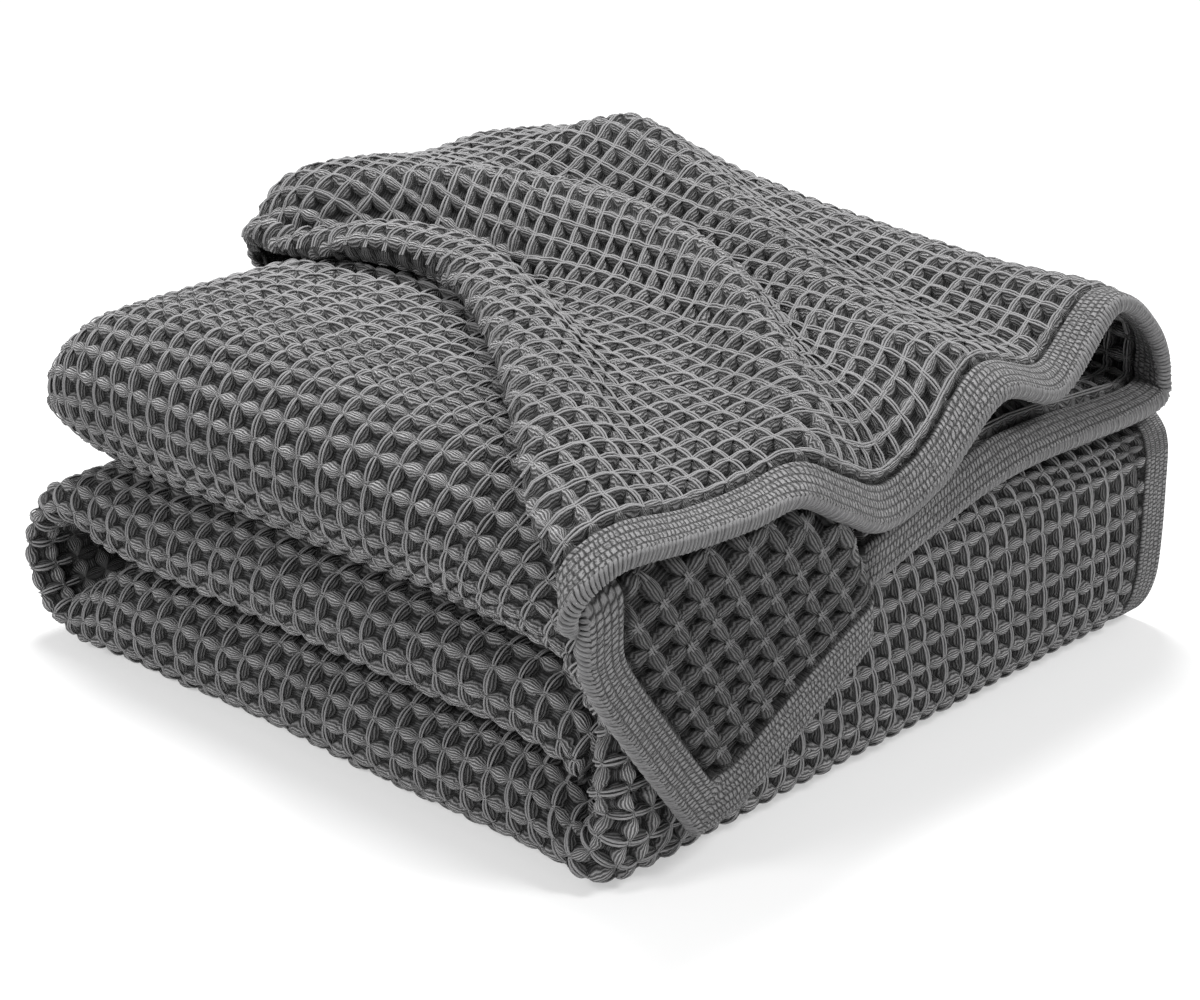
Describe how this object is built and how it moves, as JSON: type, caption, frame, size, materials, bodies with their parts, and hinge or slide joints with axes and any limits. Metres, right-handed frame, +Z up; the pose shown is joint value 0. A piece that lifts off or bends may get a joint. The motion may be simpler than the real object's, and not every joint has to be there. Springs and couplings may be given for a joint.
{
  "type": "waffle weave cotton blanket",
  "caption": "Charcoal waffle weave cotton throw folded into a soft stack, with its hemmed loose end drawn across the top and one corner hanging over the front.",
  "frame": {"origin": "on the surface it rests on, under the middle of the folded stack", "axes": "+Z up; -Y faces the side that the hems and the hanging corner hang over; -X faces the long rolled folds"},
  "size_m": [0.377, 0.3737, 0.1902],
  "materials": {
    "cotton": "matte waffle weave cotton"
  },
  "bodies": {
    "root": {"blanket": "cotton"}
  },
  "joints": []
}
